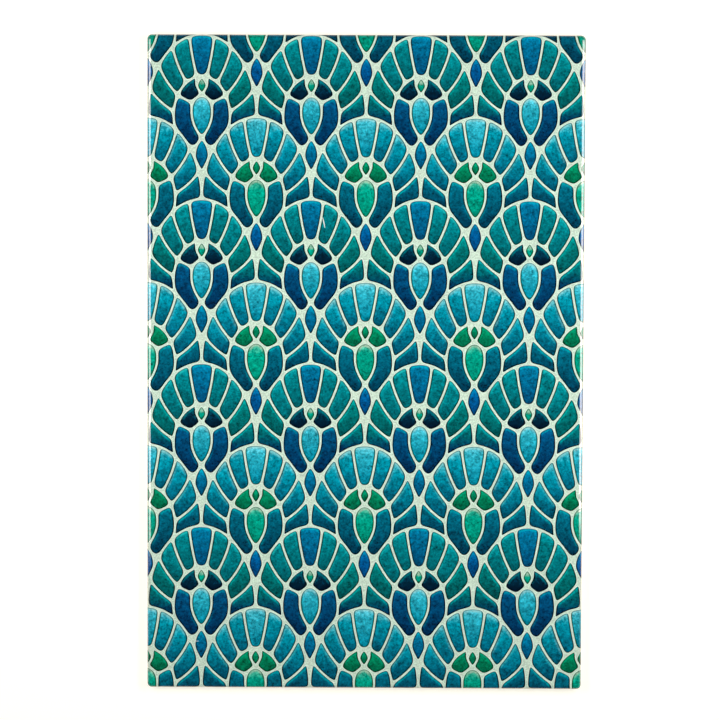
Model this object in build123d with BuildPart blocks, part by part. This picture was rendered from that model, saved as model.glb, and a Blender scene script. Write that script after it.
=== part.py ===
"""Glazed ceramic wall tile, pressed and fired as one piece, lying face up.

The face is flat and smooth, and its glaze rolls over an eased edge on all four sides. The sides are
upright, so that tiles and spacers butt against them. The back is keyed for adhesive: a waffle of
shallow square pockets with sloping walls is pressed into it. The ribs left between the pockets, and
the plain land round them, are the plane that the tile lies on.

Millimetres. The origin is in the middle of the back plane, +Z points out of the glazed face, and +Y
runs along the tile's length.
"""

import os

from build123d import *

# Outer form
tile_width = 200.0
tile_length = 300.0
tile_thickness = 7.0

# Edges: a corner seen from the front is always a little larger than the roll of the face edge
face_edge_radius = 1.8
corner_margin = 0.3
corner_radius = face_edge_radius + corner_margin
back_edge_chamfer = 0.6

# Adhesive key in the back
pocket_side = 28.5
pocket_depth = 0.9
pocket_corner_radius = 3.0
pocket_wall_slope = 35.0
rib_width = 3.0
narrowest_land = 6.0


def pockets_across(size):
    """How many pockets fit across a size, with a rib between each two and a land at both ends."""
    return int((size - 2 * narrowest_land + rib_width) // (pocket_side + rib_width))


pocket_pitch = pocket_side + rib_width
columns = pockets_across(tile_width)
rows = pockets_across(tile_length)

# One pocket of the key, open at the back plane and narrowing towards its floor
with BuildPart() as pocket:
    with BuildSketch(Plane.XY):
        RectangleRounded(pocket_side, pocket_side, pocket_corner_radius)
    extrude(amount=pocket_depth, taper=pocket_wall_slope)

with BuildPart() as tile:
    # The pressed slab
    with BuildSketch(Plane.XY):
        RectangleRounded(tile_width, tile_length, corner_radius)
    extrude(amount=tile_thickness)

    # The glaze rolls over the face edge, and the back edge is trimmed so that it doesn't chip
    fillet(tile.edges().group_by(Axis.Z)[-1], radius=face_edge_radius)
    chamfer(tile.edges().group_by(Axis.Z)[0], length=back_edge_chamfer)

    # The waffle key
    with GridLocations(pocket_pitch, pocket_pitch, columns, rows):
        add(pocket.part, mode=Mode.SUBTRACT)

tile.part.label = "tile"

os.makedirs("parts", exist_ok=True)
export_step(tile.part, "parts/tile.step")
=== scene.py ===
"""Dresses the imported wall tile: a bare pressed body, a speckled gloss glaze and the print fired into it.

The print is a fish-scale pattern. In each scale a fan of petals stands round a drop with two leaves, and
pale lines part its cells. Each cell is a thin closed inlay in the glaze, flush with it to the eye, and
follows the rolled edge of the face.

Metres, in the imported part's frame: the back lies on z = 0 and +Y points to the tile's top edge. The
print is drawn flat in millimetres first, and then laid on the face.
"""

import math
import random

import bmesh
import bpy
from mathutils import Matrix, Vector, noise


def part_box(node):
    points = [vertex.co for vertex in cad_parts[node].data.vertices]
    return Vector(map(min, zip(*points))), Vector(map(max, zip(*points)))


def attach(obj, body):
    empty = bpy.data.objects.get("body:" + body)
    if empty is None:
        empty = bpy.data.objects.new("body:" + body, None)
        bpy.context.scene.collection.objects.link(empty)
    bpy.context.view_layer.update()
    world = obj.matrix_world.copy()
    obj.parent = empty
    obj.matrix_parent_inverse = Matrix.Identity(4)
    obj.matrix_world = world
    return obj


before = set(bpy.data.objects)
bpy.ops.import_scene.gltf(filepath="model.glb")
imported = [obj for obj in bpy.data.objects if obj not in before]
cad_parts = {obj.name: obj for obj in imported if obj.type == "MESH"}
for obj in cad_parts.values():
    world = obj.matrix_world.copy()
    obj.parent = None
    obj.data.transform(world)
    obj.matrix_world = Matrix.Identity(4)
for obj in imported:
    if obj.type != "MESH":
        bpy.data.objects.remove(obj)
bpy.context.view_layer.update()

MM = 0.001

# The tile, with its upper corner read from the frame, and its edges
TILE_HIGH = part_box("tile")[1]
HALF_WIDTH = TILE_HIGH.x
HALF_LENGTH = TILE_HIGH.y
THICKNESS = TILE_HIGH.z
EDGE_ROLL = 1.8 * MM
CORNER_RADIUS = 2.1 * MM

# The glaze lies on the body, and the print's inlays lie in the glaze with their tops a hair above it
GLAZE_COAT = 0.02 * MM
INLAY_TOP = 0.04 * MM
INLAY_DEPTH = 0.15 * MM

# The drawing of the print, in millimetres. A pale line parts each two cells, from colour to colour. Its two
# borders, the halos, belong to the inlays of the cells, and the ground glaze shows between them.
SCALE_WIDTH = 50.0
ROW_STEP = 37.5
LINE_WIDTH = 0.88
HALO_WIDTH = 0.3
# The longest step from one point of an outline to the next
SIDE_STEP = 1.4
# A cell's outline is eased once for each such length of it, so that large cells get rounder corners
EASING_LENGTH = 12.0
# The widths of the rings that mark how deep inside a cell its points lie, from its edge inwards
RIM_STEPS = (0.25, 0.25, 0.25, 0.3, 0.35, 0.4, 0.5, 0.5)
# A ring is made while the middle of the cell has room for this many like it
RING_ROOM = 1.5
# The points of a ring are joined where they crowd together at a tip, nearer than so many widths of it
RING_WELD = 1.7
# A cell is drawn this deep, and gets its real depth when it is laid on the face
DRAWN_DEPTH = 1.0
# Cells are laid this far past the face, to be trimmed where the print ends on the rolled edge
PRINT_MARGIN = 3.0

# Every second row of scales stands half a scale to the side
EVEN, ODD = 0, 1


def arch(turn):
    """A point on a scale's arch, so many degrees up from its right-hand foot."""
    return (SCALE_WIDTH / 2 * math.cos(math.radians(turn)), ROW_STEP * math.sin(math.radians(turn)))


def lower_edge(turn):
    """A point on a scale's lower edge, which is the arch of the scale below it on the right."""
    x, y = arch(turn)
    return (x + SCALE_WIDTH / 2, y - ROW_STEP)


# Where the lines of the right half of a scale meet: on its arch, on its lower edge and inside it
ON_ARCH = {"corner": 0, "tip_1": 19, "tip_2": 38, "tip_3": 57.5, "tip_4": 77, "top": 90}
ON_LOWER_EDGE = {"corner": 90, "hip": 121, "bract": 141, "stem": 149}
JOINTS = {name: arch(turn) for name, turn in ON_ARCH.items()}
JOINTS.update({name: lower_edge(turn) for name, turn in ON_LOWER_EDGE.items()})
JOINTS.update({
    "foot": (0, -25.5), "throat": (2.6, -13.5), "neck": (0, -9.5),
    "knee": (12.8, 2.4), "elbow": (10.9, 9.8), "wrist": (7.0, 15.6), "palm": (2.3, 18.6), "lid": (0, 18.6),
    "gill": (4.6, -0.5), "cheek": (4.3, 6.5), "brow": (0, 10.0), "pearl_side": (2.7, 14.2),
})

# How far a line bows to the left of the way from its first joint to its second
BOWS = {
    ("throat", "hip"): -0.8, ("neck", "gill"): -0.7, ("gill", "cheek"): -0.3, ("cheek", "brow"): -0.7,
    ("cheek", "elbow"): -0.3, ("hip", "knee"): -0.4, ("knee", "elbow"): -0.4, ("elbow", "wrist"): -0.4,
    ("knee", "tip_1"): -0.8, ("elbow", "tip_2"): -0.8, ("wrist", "tip_3"): -0.7, ("palm", "tip_4"): -0.4,
}

# Cells on the scale's axis give their right-hand side, from the bottom up. The others give their whole
# outline, anticlockwise, and have a mirrored twin on the left.
AXIS_CELLS = {
    "stalk": ["foot", "stem", "throat", "neck"],
    "eye": ["neck", "gill", "cheek", "brow"],
    "pearl": ["brow", "pearl_side", "lid"],
    "crown": ["lid", "palm", "tip_4", "top"],
}
PAIRED_CELLS = {
    "leaf": ["bract", "hip", "knee", "elbow", "cheek", "gill", "neck", "throat"],
    "lash": ["cheek", "elbow", "wrist", "palm", "pearl_side", "brow"],
    "petal_1": ["hip", "corner", "tip_1", "knee"],
    "petal_2": ["knee", "tip_1", "tip_2", "elbow"],
    "petal_3": ["elbow", "tip_2", "tip_3", "wrist"],
    "petal_4": ["wrist", "tip_3", "tip_4", "palm"],
}


def side(start, end):
    """The points of one side of a cell, from its first joint up to but not including its second."""
    (x0, y0), (x1, y1) = JOINTS[start], JOINTS[end]
    length = math.hypot(x1 - x0, y1 - y0)
    steps = math.ceil(length / SIDE_STEP)
    for turns, curve in ((ON_ARCH, arch), (ON_LOWER_EDGE, lower_edge)):
        if start in turns and end in turns:
            return [curve(turns[start] + (turns[end] - turns[start]) * step / steps) for step in range(steps)]
    bow = BOWS.get((start, end), 0) - BOWS.get((end, start), 0)
    points = []
    for step in range(steps):
        share = step / steps
        rise = 4 * bow * share * (1 - share) / length
        points.append((x0 + (x1 - x0) * share - (y1 - y0) * rise, y0 + (y1 - y0) * share + (x1 - x0) * rise))
    return points


def mirrored(points):
    return [(-x, y) for x, y in reversed(points)]


def outlines(cell):
    """The outline of a cell, or of a cell and its mirrored twin."""
    if cell in AXIS_CELLS:
        chain = AXIS_CELLS[cell]
        right = [point for start, end in zip(chain, chain[1:]) for point in side(start, end)]
        right.append(JOINTS[chain[-1]])
        return [right + mirrored(right[1:-1])]
    chain = PAIRED_CELLS[cell]
    whole = [point for start, end in zip(chain, chain[1:] + chain[:1]) for point in side(start, end)]
    return [whole, mirrored(whole)]


class Layers:
    """What each point of the print knows about its cell, for the glaze colours to read."""

    NAMES = ("depth", "facing", "rise", "shade")

    def __init__(self, bm):
        for name in self.NAMES:
            setattr(self, name, bm.verts.layers.float.get(name) or bm.verts.layers.float.new(name))


def mark_ring(bm, face, depth):
    """Note on a ring of points how deep inside the cell it lies, and how far its edge faces up the tile."""
    layers = Layers(bm)
    ring = face.verts[:]
    for before, vert, after in zip(ring[-1:] + ring[:-1], ring, ring[1:] + ring[:1]):
        along = after.co - before.co
        vert[layers.depth] = depth
        vert[layers.facing] = -along.x / along.length


def flat_cell(outline):
    """One cell, drawn flat: half a line's width inside its outline, rounded, and with a marked rim."""
    bm = bmesh.new()
    layers = Layers(bm)
    middle = bm.faces.new([bm.verts.new((x, y, 0)) for x, y in outline])
    bm.normal_update()
    line = bmesh.ops.inset_individual(bm, faces=[middle], thickness=LINE_WIDTH / 2 - HALO_WIDTH,
                                      use_even_offset=True)
    bmesh.ops.delete(bm, geom=line["faces"], context="FACES")
    for _ in range(round(middle.calc_perimeter() / EASING_LENGTH)):
        bmesh.ops.smooth_vert(bm, verts=bm.verts, factor=0.5, use_axis_x=True, use_axis_y=True)

    depth = 0
    mark_ring(bm, middle, depth)
    for step in RIM_STEPS:
        if middle.calc_area() < RING_ROOM * step * middle.calc_perimeter():
            break
        bmesh.ops.inset_individual(bm, faces=[middle], thickness=step, use_even_offset=True)
        bmesh.ops.remove_doubles(bm, verts=middle.verts[:], dist=RING_WELD * step)
        middle = max(bm.faces, key=lambda face: face.calc_area())
        depth += step
        mark_ring(bm, middle, depth)

    low = min(vert.co.y for vert in bm.verts)
    high = max(vert.co.y for vert in bm.verts)
    for vert in bm.verts:
        vert[layers.rise] = (vert.co.y - low) / (high - low)

    rim = [edge for edge in bm.edges if edge.is_boundary]
    wall = bmesh.ops.extrude_edge_only(bm, edges=rim)["geom"]
    foot = [item for item in wall if isinstance(item, bmesh.types.BMVert)]
    bmesh.ops.translate(bm, verts=foot, vec=(0, 0, -DRAWN_DEPTH))
    bmesh.ops.holes_fill(bm, edges=[edge for edge in bm.edges if edge.is_boundary])
    mesh = bpy.data.meshes.new("flat_cell")
    bm.to_mesh(mesh)
    bm.free()
    return mesh


def scales(odd):
    """The middles of the scales in the even or odd rows, out to those that the tile's edges cut."""
    across = math.ceil(HALF_WIDTH / MM / SCALE_WIDTH) + 1
    along = math.ceil(HALF_LENGTH / MM / ROW_STEP / 2) + 1
    for column in range(-across, across + 1):
        for row in range(-along, along + 1):
            yield ((column + odd / 2) * SCALE_WIDTH, (2 * row + odd) * ROW_STEP)


# Where the face starts to roll over, and how far round the roll the print goes on each side
ROLL_START_X = HALF_WIDTH - EDGE_ROLL
ROLL_START_Y = HALF_LENGTH - EDGE_ROLL
SIDE_WRAP = math.radians(80)
TOP_WRAP = math.radians(72)
BOTTOM_WRAP = math.radians(50)
# The print is cut once for each such turn of the roll, and first a little before it, so that it bends well
BEND_CUT = math.radians(10)
FLAT_MARGIN = 0.2 * MM


def cut(bm, point, normal, trim=False):
    """Cut the print along a plane. With trim, what lies past it goes and the cut ends are closed."""
    geom = bm.verts[:] + bm.edges[:] + bm.faces[:]
    bmesh.ops.bisect_plane(bm, geom=geom, plane_co=point, plane_no=normal, clear_outer=trim)
    if trim:
        bmesh.ops.holes_fill(bm, edges=[edge for edge in bm.edges if edge.is_boundary])


def trim_to_face(bm):
    """Trim the flat print to what the face and its roll can carry, and cut it where it will bend."""
    limit_x = ROLL_START_X + EDGE_ROLL * SIDE_WRAP
    limits_y = {-1: ROLL_START_Y + EDGE_ROLL * BOTTOM_WRAP, 1: ROLL_START_Y + EDGE_ROLL * TOP_WRAP}
    diagonal = CORNER_RADIUS - EDGE_ROLL + EDGE_ROLL * SIDE_WRAP
    for sign in (-1, 1):
        cut(bm, (sign * limit_x, 0, 0), (sign, 0, 0), trim=True)
        cut(bm, (0, sign * limits_y[sign], 0), (0, sign, 0), trim=True)
        for sign_y in (-1, 1):
            way = Vector((sign, sign_y, 0)).normalized()
            middle = Vector((sign * (HALF_WIDTH - CORNER_RADIUS), sign_y * (HALF_LENGTH - CORNER_RADIUS), 0))
            cut(bm, middle + way * diagonal, way, trim=True)
        bends = [-FLAT_MARGIN] + [EDGE_ROLL * BEND_CUT * step for step in range(int(SIDE_WRAP / BEND_CUT))]
        for bend in bends:
            cut(bm, (sign * (ROLL_START_X + bend), 0, 0), (1, 0, 0))
            cut(bm, (0, sign * (ROLL_START_Y + bend), 0), (0, 1, 0))


def on_face(point):
    """Where a point of the flat print lies on the tile: on the flat of the face, or bent over its roll."""
    kept = Vector((min(abs(point.x), HALF_WIDTH - CORNER_RADIUS),
                   min(abs(point.y), HALF_LENGTH - CORNER_RADIUS)))
    out = Vector((abs(point.x), abs(point.y))) - kept
    past = out.length - (CORNER_RADIUS - EDGE_ROLL)
    height = THICKNESS + point.z
    if past > 0:
        turn = past / EDGE_ROLL
        out *= (CORNER_RADIUS - EDGE_ROLL + (EDGE_ROLL + point.z) * math.sin(turn)) / out.length
        height = THICKNESS - EDGE_ROLL + (EDGE_ROLL + point.z) * math.cos(turn)
    kept += out
    return Vector((math.copysign(kept.x, point.x), math.copysign(kept.y, point.y), height))


# A face that lies as level as this isn't shaded as part of a curve, and an edge that turns more than this
# stays sharp
LEVEL = 0.9999
SHARP_TURN = math.radians(30)


def finish_piece(name, bm, material):
    """Make a piece of a finished shape, which rides on the tile and belongs to its material slot."""
    bmesh.ops.recalc_face_normals(bm, faces=bm.faces[:])
    for face in bm.faces:
        face.smooth = abs(face.normal.z) < LEVEL
    mesh = bpy.data.meshes.new(name)
    bm.to_mesh(mesh)
    bm.free()
    mesh.set_sharp_from_angle(angle=SHARP_TURN)
    mesh.materials.append(material)
    piece = bpy.data.objects.new(name, mesh)
    bpy.context.collection.objects.link(piece)
    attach(piece, "root")


def print_piece(name, cells, material):
    """All the cells of one colour, over the whole face. Each comes with its rows, even or odd."""
    chance = random.Random(name)
    bm = bmesh.new()
    layers = Layers(bm)
    reach = Vector((HALF_WIDTH / MM + PRINT_MARGIN, HALF_LENGTH / MM + PRINT_MARGIN))
    for cell, odd in cells:
        for outline in outlines(cell):
            drawn = flat_cell(outline)
            xs = [x for x, y in outline]
            ys = [y for x, y in outline]
            for x, y in scales(odd):
                beside = x + min(xs) > reach.x or x + max(xs) < -reach.x
                beyond = y + min(ys) > reach.y or y + max(ys) < -reach.y
                if beside or beyond:
                    continue
                before = len(bm.verts)
                bm.from_mesh(drawn)
                bm.verts.ensure_lookup_table()
                shade = chance.uniform(-1, 1)
                for vert in bm.verts[before:]:
                    vert.co += Vector((x, y, 0))
                    vert[layers.shade] = shade
            bpy.data.meshes.remove(drawn)
    for vert in bm.verts:
        is_top = vert.co.z > -DRAWN_DEPTH / 2
        vert.co = Vector((vert.co.x * MM, vert.co.y * MM, INLAY_TOP if is_top else -INLAY_DEPTH))
    trim_to_face(bm)
    for vert in bm.verts:
        vert.co = on_face(vert.co)
    finish_piece(name, bm, material)


def srgb(red, green, blue):
    """A colour in the usual 0 to 255 steps, as the shader wants it."""
    shares = [value / 255 for value in (red, green, blue)]
    return tuple(share / 12.92 if share <= 0.04045 else ((share + 0.055) / 1.055) ** 2.4
                 for share in shares) + (1,)


class Finish:
    """A material, with short ways to add its nodes. They are fed with numbers, colours or sockets."""

    # The places of a Mix node's sockets for colours, whose names its other sockets have too
    MIX_FACTOR, MIX_FIRST, MIX_SECOND, MIX_RESULT = 0, 6, 7, 2

    def __init__(self, name, roughness, refraction=1.5):
        self.material = bpy.data.materials.new(name)
        self.material.use_nodes = True
        self.tree = self.material.node_tree
        self.surface = self.tree.nodes["Principled BSDF"]
        self.surface.inputs["Roughness"].default_value = roughness
        self.surface.inputs["IOR"].default_value = refraction
        self.place = self.node("TexCoord").outputs["Object"]

    def node(self, kind, **settings):
        made = self.tree.nodes.new("ShaderNode" + kind)
        for name, value in settings.items():
            setattr(made, name, value)
        return made

    def feed(self, socket, value):
        if isinstance(value, bpy.types.NodeSocket):
            self.tree.links.new(value, socket)
        elif isinstance(value, tuple):
            socket.default_value = value[:len(socket.default_value)]
        else:
            socket.default_value = value

    def calc(self, operation, first, second=0.0):
        made = self.node("Math", operation=operation)
        self.feed(made.inputs[0], first)
        self.feed(made.inputs[1], second)
        return made.outputs[0]

    def ramp(self, value, start, end, low=0.0, high=1.0):
        """Low up to the start, high from the end on, and a soft change between."""
        made = self.node("MapRange", interpolation_type="SMOOTHSTEP")
        given = {"Value": value, "From Min": start, "From Max": end, "To Min": low, "To Max": high}
        for socket, setting in given.items():
            self.feed(made.inputs[socket], setting)
        return made.outputs["Result"]

    def mix(self, factor, first, second):
        """The first colour where the factor is 0, and the second where it is 1."""
        made = self.node("Mix", data_type="RGBA")
        self.feed(made.inputs[self.MIX_FACTOR], factor)
        self.feed(made.inputs[self.MIX_FIRST], first)
        self.feed(made.inputs[self.MIX_SECOND], second)
        return made.outputs[self.MIX_RESULT]

    def grain(self, size, detail=2.0, roughness=0.55):
        """Noise whose spots are about so many metres across."""
        made = self.node("TexNoise")
        self.feed(made.inputs["Vector"], self.place)
        for socket, given in zip(("Scale", "Detail", "Roughness"), (1 / size, detail, roughness)):
            made.inputs[socket].default_value = given
        return made.outputs["Fac"]

    def centred(self, value, strength):
        """Noise about its middle, times a strength."""
        return self.calc("MULTIPLY", self.calc("SUBTRACT", value, 0.5), strength)

    def known(self, name):
        """A value that the print's points carry."""
        return self.node("Attribute", attribute_name=name).outputs["Fac"]

    def lighten(self, colour, amount):
        """A colour times one plus an amount, which may vary over the surface."""
        made = self.node("VectorMath", operation="SCALE")
        self.feed(made.inputs[0], colour)
        self.feed(made.inputs["Scale"], self.calc("ADD", amount, 1.0))
        return made.outputs[0]

    def ripple(self, height, depth):
        """Let the surface rise and fall by a small depth."""
        bump = self.node("Bump")
        self.feed(bump.inputs["Height"], height)
        bump.inputs["Distance"].default_value = depth
        self.tree.links.new(bump.outputs["Normal"], self.surface.inputs["Normal"])


# A deep gloss, which mirrors the softboxes brightly
GLAZE_ROUGHNESS = 0.08
GLAZE_REFRACTION = 1.8

# The pale colours: of the ground, of the halos along the cells, and the cream that the ground turns to lower
# round the roll
GROUND = srgb(210, 231, 210)
HALO = srgb(226, 248, 230)
EDGE_CREAM = srgb(250, 245, 222)
# How far below the face the ground starts to turn cream, and where it is all cream
CREAM_BEGINS_BELOW = 0.25 * MM
CREAM_FULL_BELOW = 0.7 * MM


def ground_glaze():
    """The pale green glaze between the cells, finely speckled. It turns cream lower down round the edge."""
    finish = Finish("ground_glaze", GLAZE_ROUGHNESS, GLAZE_REFRACTION)
    speckle = finish.centred(finish.grain(size=0.65 * MM, detail=3), strength=1.3)
    cloud = finish.centred(finish.grain(size=3 * MM), strength=0.2)
    height = finish.node("SeparateXYZ")
    finish.feed(height.inputs[0], finish.place)
    # The ground turns cream from a little below the face and is all cream lower down the roll
    thin = finish.ramp(height.outputs["Z"], THICKNESS - CREAM_BEGINS_BELOW, THICKNESS - CREAM_FULL_BELOW)
    colour = finish.mix(thin, GROUND, EDGE_CREAM)
    colour = finish.lighten(colour, finish.calc("ADD", speckle, cloud))
    finish.feed(finish.surface.inputs["Base Color"], colour)
    return finish.material


def darker(colour, red, green, blue):
    """A colour with each part cut to a share of itself."""
    return (colour[0] * red, colour[1] * green, colour[2] * blue, 1)


# The mottling of a printed cell: blots and finer specks, with their contrast, and how much cells differ
BLOT_SIZE, BLOT_CONTRAST = 2.2 * MM, 1.3
SPECK_SIZE, SPECK_CONTRAST = 0.95 * MM, 2.8
CELL_CONTRAST = 0.05

# How blots move the fronts of the marks below, in shares of a cell's height and in millimetres
RAGGED_HEIGHT = 0.5
RAGGED_DEPTH = 1.2

# The marks of a printed cell, as ramps: from where to where, and the values there. A height runs from 0 at
# the cell's bottom to 1 at its top. A depth is in millimetres from the inlay's edge. A side is 1 where the
# nearest edge faces up the tile and -1 where it faces down. Specks lie about 0.5.
POOL_HEIGHTS = (0.28, -0.05, 0.0, 0.42)
FROST_HEIGHTS = (0.7, 1.12, 0.0)
FROST_SPECKS = (0.4, 0.6, 0.45, 1.0)
GLOW_DEPTHS = (3.2, 1.2, 0.0, 0.28)
GLOW_SIDES = (-0.5, 0.9, 0.15, 1.0)
RIM_DEPTHS = (1.9, 1.0, 0.0, 0.85)
RIM_SIDES = (0.12, 0.85, 0.0, 1.0)
RIM_SPECKS = (0.38, 0.6, 0.5, 1.1)
OUTLINE_END_BELOW = (-0.9, -0.1, 1.1, 1.28)
OUTLINE_CUT_ABOVE = (0.2, 0.85, 0.0, 0.46)
OUTLINE_FULL_DEPTH = 0.45
OUTLINE_SIDES = (0.0, 0.9, 1.0, 0.7)
HALO_DEPTHS = (HALO_WIDTH + 0.06, HALO_WIDTH - 0.05, 0.0, 1.0)

# The shares of red, green and blue that the bottom colour keeps where it pools, and in the outline
POOL_SHARES = (0.5, 0.4, 0.42)
OUTLINE_SHARES = (0.3, 0.3, 0.11)


def cell_glaze(name, top, bottom, rim, frost=0.0):
    """A printed glaze that grades from bottom to top, mottled, with a dark outline and a light upper rim.

    The lightest glazes are frosted with the rim's colour towards the top of their cells.
    """
    finish = Finish(name, GLAZE_ROUGHNESS, GLAZE_REFRACTION)
    depth, facing = finish.known("depth"), finish.known("facing")
    blots = finish.grain(BLOT_SIZE, 3, 0.6)
    specks = finish.grain(SPECK_SIZE, 3, 0.65)

    # How the colour runs up the cell
    height = finish.calc("ADD", finish.known("rise"), finish.centred(blots, RAGGED_HEIGHT))
    colour = finish.mix(finish.ramp(height, 0.0, 1.0), bottom, top)
    colour = finish.mix(finish.ramp(height, *POOL_HEIGHTS), colour, darker(bottom, *POOL_SHARES))
    if frost:
        gaps = finish.ramp(specks, *FROST_SPECKS)
        frosting = finish.calc("MULTIPLY", finish.ramp(height, *FROST_HEIGHTS, frost), gaps)
        colour = finish.mix(frosting, colour, rim)

    # How it is mottled
    mottle = finish.calc("ADD", finish.centred(blots, BLOT_CONTRAST), finish.centred(specks, SPECK_CONTRAST))
    own_shade = finish.calc("MULTIPLY", finish.known("shade"), CELL_CONTRAST)
    colour = finish.lighten(colour, finish.calc("ADD", mottle, own_shade))

    # The glow behind the rim, mostly along upper edges, and the lit rim itself
    inward = finish.calc("ADD", depth, finish.centred(blots, RAGGED_DEPTH))
    glow = finish.calc("MULTIPLY", finish.ramp(inward, *GLOW_DEPTHS), finish.ramp(facing, *GLOW_SIDES))
    colour = finish.lighten(colour, glow)
    lit = finish.calc("MULTIPLY", finish.ramp(inward, *RIM_DEPTHS), finish.ramp(facing, *RIM_SIDES))
    lit = finish.calc("MULTIPLY", lit, finish.ramp(specks, *RIM_SPECKS))
    colour = finish.mix(lit, colour, rim)

    # The dark outline, thin along upper edges, and the halo round it
    outline_end = finish.calc("SUBTRACT", finish.ramp(facing, *OUTLINE_END_BELOW),
                              finish.ramp(facing, *OUTLINE_CUT_ABOVE))
    dark = finish.calc("MULTIPLY", finish.ramp(depth, outline_end, OUTLINE_FULL_DEPTH),
                       finish.ramp(facing, *OUTLINE_SIDES))
    colour = finish.mix(dark, colour, darker(bottom, *OUTLINE_SHARES))
    colour = finish.mix(finish.ramp(depth, *HALO_DEPTHS), colour, HALO)
    finish.feed(finish.surface.inputs["Base Color"], colour)
    return finish.material


# The fired body under the glaze
BISQUE = srgb(239, 232, 219)


def bare_body():
    """The pressed, fired body: white-cream and matt, with fine grit."""
    finish = Finish("bare_body", roughness=0.8)
    cloud = finish.centred(finish.grain(size=25 * MM), strength=0.10)
    grit = finish.grain(size=0.3 * MM, detail=3)
    shading = finish.calc("ADD", cloud, finish.centred(grit, strength=0.12))
    finish.feed(finish.surface.inputs["Base Color"], finish.lighten(BISQUE, shading))
    finish.ripple(grit, depth=0.03 * MM)
    return finish.material


# The scratches: where each starts and ends on the face, and its width
SCRATCHES = (
    ((-19.7 * MM, 66.9 * MM), (-18.6 * MM, 61.9 * MM), 0.5 * MM),
    ((-78.4 * MM, -128.2 * MM), (-76.1 * MM, -128.4 * MM), 0.22 * MM),
)
SCRATCH_TOP = 0.05 * MM
SCRATCH_PALE = srgb(222, 234, 224)

# The lower end of the glaze on the tile's sides, and the long and short waves that it wavers in
GLAZE_END = 4.4 * MM
GLAZE_WAVER = 0.35 * MM
LONG_WAVE = 9 * MM
SHORT_WAVE = 2.5 * MM
SHORT_WAVE_SHARE = 0.4

# How finely the glaze coat's corners, its roll and its wavering end are cut
CORNER_FACETS = 8
ROLL_FACETS = 12
WAVER_CUTS = 120


def glaze_coat():
    """The pale glaze over the face, its roll and the top of the sides, where it ends in a wavering line."""
    bm = bmesh.new()
    bmesh.ops.create_grid(bm, x_segments=1, y_segments=1, size=1.0)
    bmesh.ops.scale(bm, vec=(HALF_WIDTH + GLAZE_COAT, HALF_LENGTH + GLAZE_COAT, 1), verts=bm.verts)
    bmesh.ops.bevel(bm, geom=bm.verts[:], offset=CORNER_RADIUS, offset_type="OFFSET",
                    segments=CORNER_FACETS, profile=0.5, affect="VERTICES", clamp_overlap=True, material=-1)
    bmesh.ops.translate(bm, verts=bm.verts, vec=(0, 0, THICKNESS + GLAZE_COAT))
    made = bmesh.ops.extrude_face_region(bm, geom=bm.faces[:], use_keep_orig=True)["geom"]
    lower = [item for item in made if isinstance(item, bmesh.types.BMVert)]
    bmesh.ops.translate(bm, verts=lower, vec=(0, 0, GLAZE_END - THICKNESS - GLAZE_COAT))
    rim = [edge for edge in bm.edges if all(vert.co.z > THICKNESS for vert in edge.verts)]
    bmesh.ops.bevel(bm, geom=rim, offset=EDGE_ROLL, offset_type="OFFSET",
                    segments=ROLL_FACETS, profile=0.5, affect="EDGES", clamp_overlap=False, material=-1)

    border = [edge for edge in bm.edges if all(vert.co.z < GLAZE_END + FLAT_MARGIN for vert in edge.verts)]
    straight = [edge for edge in border if edge.calc_length() > HALF_WIDTH]
    bmesh.ops.subdivide_edges(bm, edges=straight, cuts=WAVER_CUTS)
    for vert in bm.verts:
        if vert.co.z < GLAZE_END + FLAT_MARGIN:
            waver = noise.noise(vert.co / LONG_WAVE) + SHORT_WAVE_SHARE * noise.noise(vert.co / SHORT_WAVE)
            vert.co.z += GLAZE_WAVER * waver
    finish_piece("glaze", bm, ground_glaze())


def dress_body():
    """The solid of the tile keeps its shape and gets the finish of the bare body."""
    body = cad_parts["tile"]
    finish = bare_body()
    for index in range(len(body.material_slots)):
        body.material_slots[index].material = finish


def scratches():
    """Two short hairline scratches, pale as glaze that has lost its gloss."""
    bm = bmesh.new()
    for start, end, width in SCRATCHES:
        along = Vector(end) - Vector(start)
        middle = (Vector(end) + Vector(start)) / 2
        line = bmesh.ops.create_circle(bm, cap_ends=True, segments=12, radius=0.5)["verts"]
        bmesh.ops.scale(bm, vec=(along.length, width, 1), verts=line)
        bmesh.ops.rotate(bm, matrix=Matrix.Rotation(math.atan2(along.y, along.x), 3, "Z"), verts=line)
        bmesh.ops.translate(bm, verts=line, vec=(middle.x, middle.y, THICKNESS - INLAY_DEPTH))
    made = bmesh.ops.extrude_face_region(bm, geom=bm.faces[:], use_keep_orig=True)["geom"]
    upper = [item for item in made if isinstance(item, bmesh.types.BMVert)]
    bmesh.ops.translate(bm, verts=upper, vec=(0, 0, INLAY_DEPTH + SCRATCH_TOP))
    finish = Finish("scratched_glaze", roughness=0.5)
    broken = finish.centred(finish.grain(size=0.8 * MM, detail=3), strength=0.8)
    finish.feed(finish.surface.inputs["Base Color"], finish.lighten(SCRATCH_PALE, broken))
    finish_piece("scratches", bm, finish.material)


dress_body()
glaze_coat()
scratches()

# The printed colours: each with the top and the bottom of its cells, their lit rim, and any frost
print_piece("print_aqua", [("crown", EVEN), ("eye", ODD)],
            cell_glaze("aqua", srgb(46, 180, 198), srgb(0, 138, 162), srgb(154, 216, 216), 0.4))
print_piece("print_teal_light", [("petal_4", EVEN), ("petal_3", EVEN)],
            cell_glaze("teal_light", srgb(0, 156, 174), srgb(0, 98, 124), srgb(136, 210, 210), 0.5))
print_piece("print_teal", [("petal_2", EVEN)],
            cell_glaze("teal", srgb(0, 143, 162), srgb(0, 82, 109), srgb(72, 198, 202)))
print_piece("print_teal_dark", [("petal_1", EVEN), ("leaf", EVEN)],
            cell_glaze("teal_dark", srgb(0, 104, 126), srgb(0, 60, 86), srgb(0, 172, 182)))
print_piece("print_sea_green_light", [("petal_4", ODD), ("petal_3", ODD)],
            cell_glaze("sea_green_light", srgb(0, 133, 139), srgb(0, 99, 107), srgb(36, 198, 196)))
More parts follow.
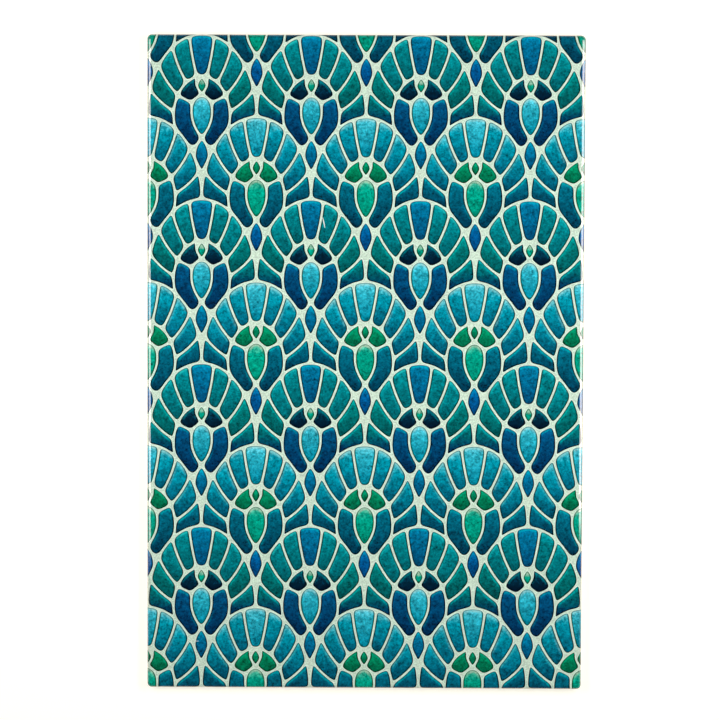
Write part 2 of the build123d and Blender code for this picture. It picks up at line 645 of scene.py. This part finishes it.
print_piece("print_sea_green", [("petal_2", ODD)],
            cell_glaze("sea_green", srgb(0, 122, 118), srgb(0, 89, 91), srgb(0, 184, 178)))
print_piece("print_sea_green_to_navy", [("petal_1", ODD)],
            cell_glaze("sea_green_to_navy", srgb(0, 117, 113), srgb(0, 47, 88), srgb(0, 172, 174)))
print_piece("print_blue", [("crown", ODD), ("stalk", ODD)],
            cell_glaze("blue", srgb(0, 117, 155), srgb(0, 80, 123), srgb(0, 174, 200)))
print_piece("print_royal", [("stalk", EVEN)],
            cell_glaze("royal_blue", srgb(0, 95, 152), srgb(0, 67, 125), srgb(0, 154, 194)))
print_piece("print_navy", [("leaf", ODD)],
            cell_glaze("navy", srgb(0, 80, 123), srgb(0, 45, 84), srgb(0, 154, 180)))
print_piece("print_ink", [("lash", ODD)],
            cell_glaze("ink", srgb(0, 54, 75), srgb(0, 23, 44), srgb(0, 132, 142)))
print_piece("print_emerald", [("eye", EVEN), ("pearl", ODD)],
            cell_glaze("emerald", srgb(0, 164, 137), srgb(0, 144, 118), srgb(178, 204, 178), 0.25))
print_piece("print_green", [("pearl", EVEN), ("lash", EVEN)],
            cell_glaze("leaf_green", srgb(0, 132, 90), srgb(0, 104, 71), srgb(0, 164, 122)))

# The camera hangs a metre over the tile, a little towards its top edge, and is aimed at its middle
camera_data = bpy.data.cameras.new("camera")
camera_data.lens = 108.44
camera = bpy.data.objects.new("camera", camera_data)
camera.location = (4.3 * MM, 42.6 * MM, 1.0)
camera.rotation_euler = [math.radians(turn) for turn in (-2.36, 0.394, 0.22)]
bpy.context.collection.objects.link(camera)
bpy.context.scene.camera = camera


SOFTBOX_WHITE = (1.0, 0.96, 0.9)


def lamp(name, place, along, across, power, shines):
    """A lamp that faces the tile, so long along the tile's length and so wide across it.

    One that shines on gloss only shows in the glaze as a highlight, and a matt one lights its colours.
    """
    light = bpy.data.lights.new(name, "AREA")
    light.shape = "RECTANGLE"
    light.size, light.size_y = along, across
    light.energy = power
    shown = bpy.data.objects.new(name, light)
    shown.location = place
    shown.rotation_euler = Vector((place[0], 0, place[2])).to_track_quat("Z", "Y").to_euler()
    shown.visible_glossy = shines == "gloss"
    shown.visible_diffuse = shines == "matt"
    if shines == "gloss":
        light.color = SOFTBOX_WHITE
    bpy.context.collection.objects.link(shown)


# The softboxes show as lines on the rolled long edges, which end three quarters down. The fills hang nearer
# and a little towards the top edge, so that the light falls off towards the bottom edge.
lamp("left_softbox", (-0.52, 0.03, 0.49), 0.4, 0.53, 4.8, "gloss")
lamp("right_softbox", (0.58, 0.04, 0.36), 0.38, 0.78, 7.4, "gloss")
lamp("left_fill", (-0.25, 0.05, 0.42), 0.3, 0.12, 1.38, "matt")
lamp("right_fill", (0.25, 0.05, 0.42), 0.3, 0.12, 1.6, "matt")


# The floor lies a hair under the tile, so that the two surfaces don't coincide
FLOOR_GAP = 0.05 * MM
FLOOR_REACH = 6.0
# The floor's paint, and what is added where it is looked at or mirrored
FLOOR_PAINT = (0.52, 0.50, 0.46, 1)
FLOOR_GLOW = (0.74, 0.72, 0.64, 1)


def floor():
    """A pale floor, white to the eye and in the tile's gloss, but for the tile's faint shadow."""
    bm = bmesh.new()
    bmesh.ops.create_grid(bm, x_segments=1, y_segments=1, size=FLOOR_REACH)
    bmesh.ops.translate(bm, verts=bm.verts, vec=(0, 0, -FLOOR_GAP))
    mesh = bpy.data.meshes.new("floor")
    bm.to_mesh(mesh)
    bm.free()
    shown = bpy.data.objects.new("floor", mesh)
    bpy.context.collection.objects.link(shown)
    material = bpy.data.materials.new("floor_white")
    material.use_nodes = True
    tree = material.node_tree
    tree.nodes.clear()
    paint = tree.nodes.new("ShaderNodeBsdfDiffuse")
    paint.inputs["Color"].default_value = FLOOR_PAINT
    glow = tree.nodes.new("ShaderNodeEmission")
    glow.inputs["Color"].default_value = FLOOR_GLOW
    path = tree.nodes.new("ShaderNodeLightPath")
    seen = tree.nodes.new("ShaderNodeMath")
    seen.operation = "MAXIMUM"
    both = tree.nodes.new("ShaderNodeAddShader")
    out = tree.nodes.new("ShaderNodeOutputMaterial")
    tree.links.new(path.outputs["Is Camera Ray"], seen.inputs[0])
    tree.links.new(path.outputs["Is Glossy Ray"], seen.inputs[1])
    tree.links.new(seen.outputs[0], glow.inputs["Strength"])
    tree.links.new(paint.outputs[0], both.inputs[0])
    tree.links.new(glow.outputs[0], both.inputs[1])
    tree.links.new(both.outputs[0], out.inputs["Surface"])
    mesh.materials.append(material)


# The room's brightness and the heights between which it changes: pale low down, and dark overhead where the
# camera hangs, as the face mirrors that part
ROOM_LOW, ROOM_HIGH = 0.16, 0.32
ROOM_PALE, ROOM_DARK = 0.8, 0.01


def room():
    """The studio round the tile."""
    world = bpy.data.worlds.new("studio")
    bpy.context.scene.world = world
    world.use_nodes = True
    tree = world.node_tree
    sky = tree.nodes["Background"]
    sky.inputs["Color"].default_value = (1, 1, 1, 1)
    direction = tree.nodes.new("ShaderNodeTexCoord")
    parts = tree.nodes.new("ShaderNodeSeparateXYZ")
    change = tree.nodes.new("ShaderNodeMapRange")
    change.inputs["From Min"].default_value = ROOM_LOW
    change.inputs["From Max"].default_value = ROOM_HIGH
    change.inputs["To Min"].default_value = ROOM_PALE
    change.inputs["To Max"].default_value = ROOM_DARK
    tree.links.new(direction.outputs["Generated"], parts.inputs[0])
    tree.links.new(parts.outputs["Z"], change.inputs["Value"])
    tree.links.new(change.outputs["Result"], sky.inputs["Strength"])


floor()
room()

bpy.context.scene.view_settings.view_transform = "Standard"
